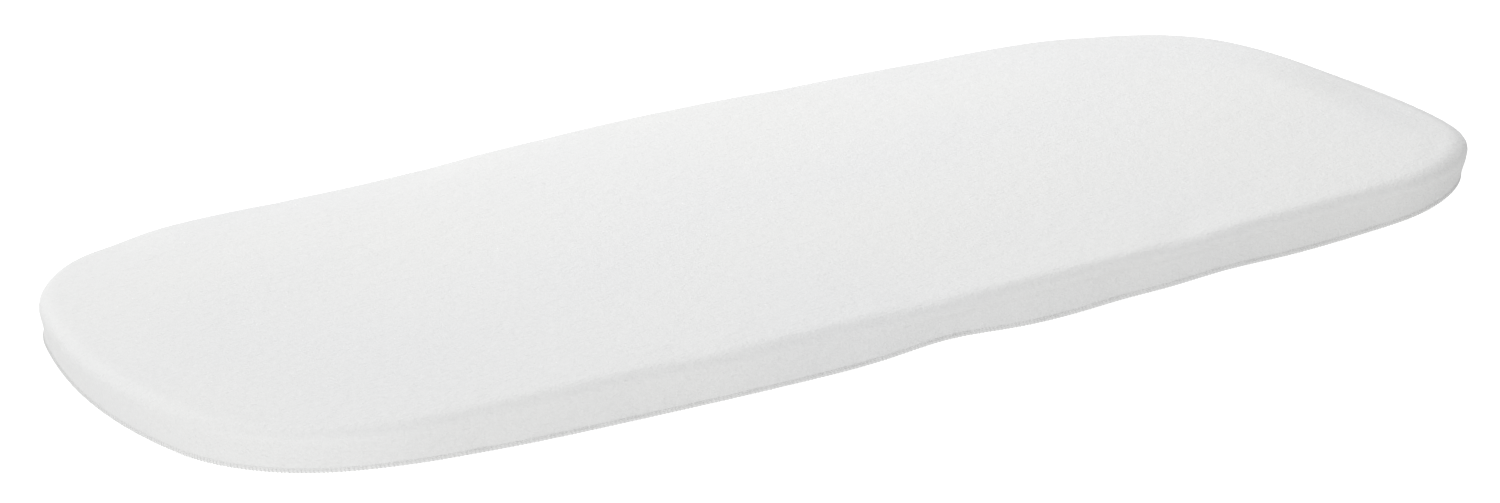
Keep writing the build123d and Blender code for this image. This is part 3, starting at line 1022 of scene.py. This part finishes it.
def make_floor():
    size = 6.0
    corners = [(-size, -size, 0), (size, -size, 0), (size, size, 0), (-size, size, 0)]
    floor = new_piece("floor", corners, [[0, 1, 2, 3]], smooth_shaded=False)
    n = Nodes("floor_paper")
    grain = n.noise(n.scaled((1, 1, 1)), 60, 3, 0.5)
    tone = n.mix(grain, (0.44, 0.44, 0.44), (0.46, 0.46, 0.46))
    material = n.finish(tone, 0.9, Specular_IOR_Level=0.1, Emission_Color=(1, 1, 1, 1))
    # Glowing paper: white where it's looked at, and only about half as strong a light on the pad.
    seen = n.add("ShaderNodeLightPath").outputs["Is Camera Ray"]
    glow = n.maths("ADD", n.maths("MULTIPLY", seen, SEEN_GLOW), FLOOR_LIGHT)
    n.link(glow, n.shader, "Emission Strength")
    floor.data.materials.append(material)


def make_lights():
    world = bpy.data.worlds.new("studio")
    bpy.context.scene.world = world
    world.use_nodes = True
    tree = world.node_tree
    background = tree.nodes["Background"]
    background.inputs["Color"].default_value = (0.985, 0.99, 1.0, 1)
    way = tree.nodes.new("ShaderNodeSeparateXYZ")
    tree.links.new(tree.nodes.new("ShaderNodeTexCoord").outputs["Generated"], way.inputs[0])
    strength = tree.nodes.new("ShaderNodeMath")
    strength.operation = "MULTIPLY_ADD"
    strength.inputs[1].default_value = ROOM_SLOPE
    strength.inputs[2].default_value = ROOM_LIGHT
    tree.links.new(way.outputs["X"], strength.inputs[0])
    tree.links.new(strength.outputs[0], background.inputs["Strength"])
    for name, place, size, power in (
        ("key", (-0.75, -1.10, 0.45), 0.7, 2.2),
        ("top", (0.10, 0.90, 1.0), 1.0, 8.0),
    ):
        light = bpy.data.lights.new(name, "AREA")
        light.shape = "DISK"
        light.size = size
        light.energy = power
        lamp = bpy.data.objects.new(name, light)
        lamp.location = place
        lamp.rotation_euler = (-Vector(place)).to_track_quat("-Z", "Y").to_euler()
        bpy.context.scene.collection.objects.link(lamp)


def make_camera():
    """Low, from the front left, with a long lens, tilted a little to the side."""
    azimuth, elevation, roll = radians(-28.34), radians(18.55), radians(-3.32)
    distance, focus = 2.303, Vector((-0.0142, 0.0, 0.0))
    back = Vector(
        (sin(azimuth) * cos(elevation), -cos(azimuth) * cos(elevation), sin(elevation))
    )
    level_right = Vector((cos(azimuth), sin(azimuth), 0))
    level_up = back.cross(level_right)
    right = level_right * cos(roll) + level_up * sin(roll)
    up = level_up * cos(roll) - level_right * sin(roll)
    lens = bpy.data.cameras.new("camera")
    lens.lens = 99.4
    lens.sensor_width = 36.0
    lens.sensor_fit = "HORIZONTAL"
    camera = bpy.data.objects.new("camera", lens)
    camera.matrix_world = Matrix.Translation(focus + back * distance) @ Matrix(
        (right, up, back)
    ).transposed().to_4x4()
    bpy.context.scene.collection.objects.link(camera)
    bpy.context.scene.camera = camera


def dress(node, material):
    """A new material on a CAD node."""
    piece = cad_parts[node]
    piece.data.materials.clear()
    piece.data.materials.append(material)


# ---- the scene ----------------------------------------------------------------------------------
make_camera()
make_floor()
make_lights()
bpy.context.scene.view_settings.view_transform = "Standard"

terry = terry_material("terry", (0.80, 0.80, 0.795), (0.74, 0.74, 0.735))
# The rolled edge's terry has a darker shade tone than the cover's, which is painted shade for the
# recess along the seam's ridge, and less pile.
terry_edge = terry_material("terry_edge", (0.80, 0.80, 0.795), (0.72, 0.72, 0.715), 0.6)
base_fabric = knit_material("base_fabric", (0.78, 0.78, 0.775), (0.68, 0.68, 0.675))
thread = thread_material("thread", (0.82, 0.82, 0.81), (0.68, 0.68, 0.675))
satin = satin_material("label_satin", (0.82, 0.82, 0.81), (0.74, 0.74, 0.735))
tape = tape_material("zip_tape", (0.78, 0.78, 0.775), (0.66, 0.66, 0.655))
coil = coil_material("zip_coil", (0.80, 0.80, 0.79), (0.72, 0.72, 0.71))
enamel = enamel_material("slider_enamel", (0.80, 0.80, 0.79), (0.71, 0.71, 0.70))
metal = metal_material("zip_metal", (0.78, 0.77, 0.75), (0.62, 0.61, 0.60))
foam = foam_material("foam", (0.86, 0.83, 0.74), (0.80, 0.75, 0.60))
film = film_material("liner_film", (0.84, 0.86, 0.87), (0.78, 0.80, 0.82))

make_filling(foam, film)
make_cover(terry, base_fabric)
make_overlocked_edge(terry_edge)
make_overlock_thread(thread)
make_zip_stitches(thread)
make_bar_tacks(thread)
make_label(satin)

for node, material in (
    ("zip_tape_upper", tape),
    ("zip_tape_lower", tape),
    ("zip_teeth_upper", coil),
    ("zip_teeth_lower", coil),
    ("zip_top_stops", metal),
    ("zip_bottom_stop", metal),
    ("zip_slider", enamel),
    ("zip_slider_bridge", enamel),
    ("zip_pull_tab", enamel),
):
    dress(node, material)
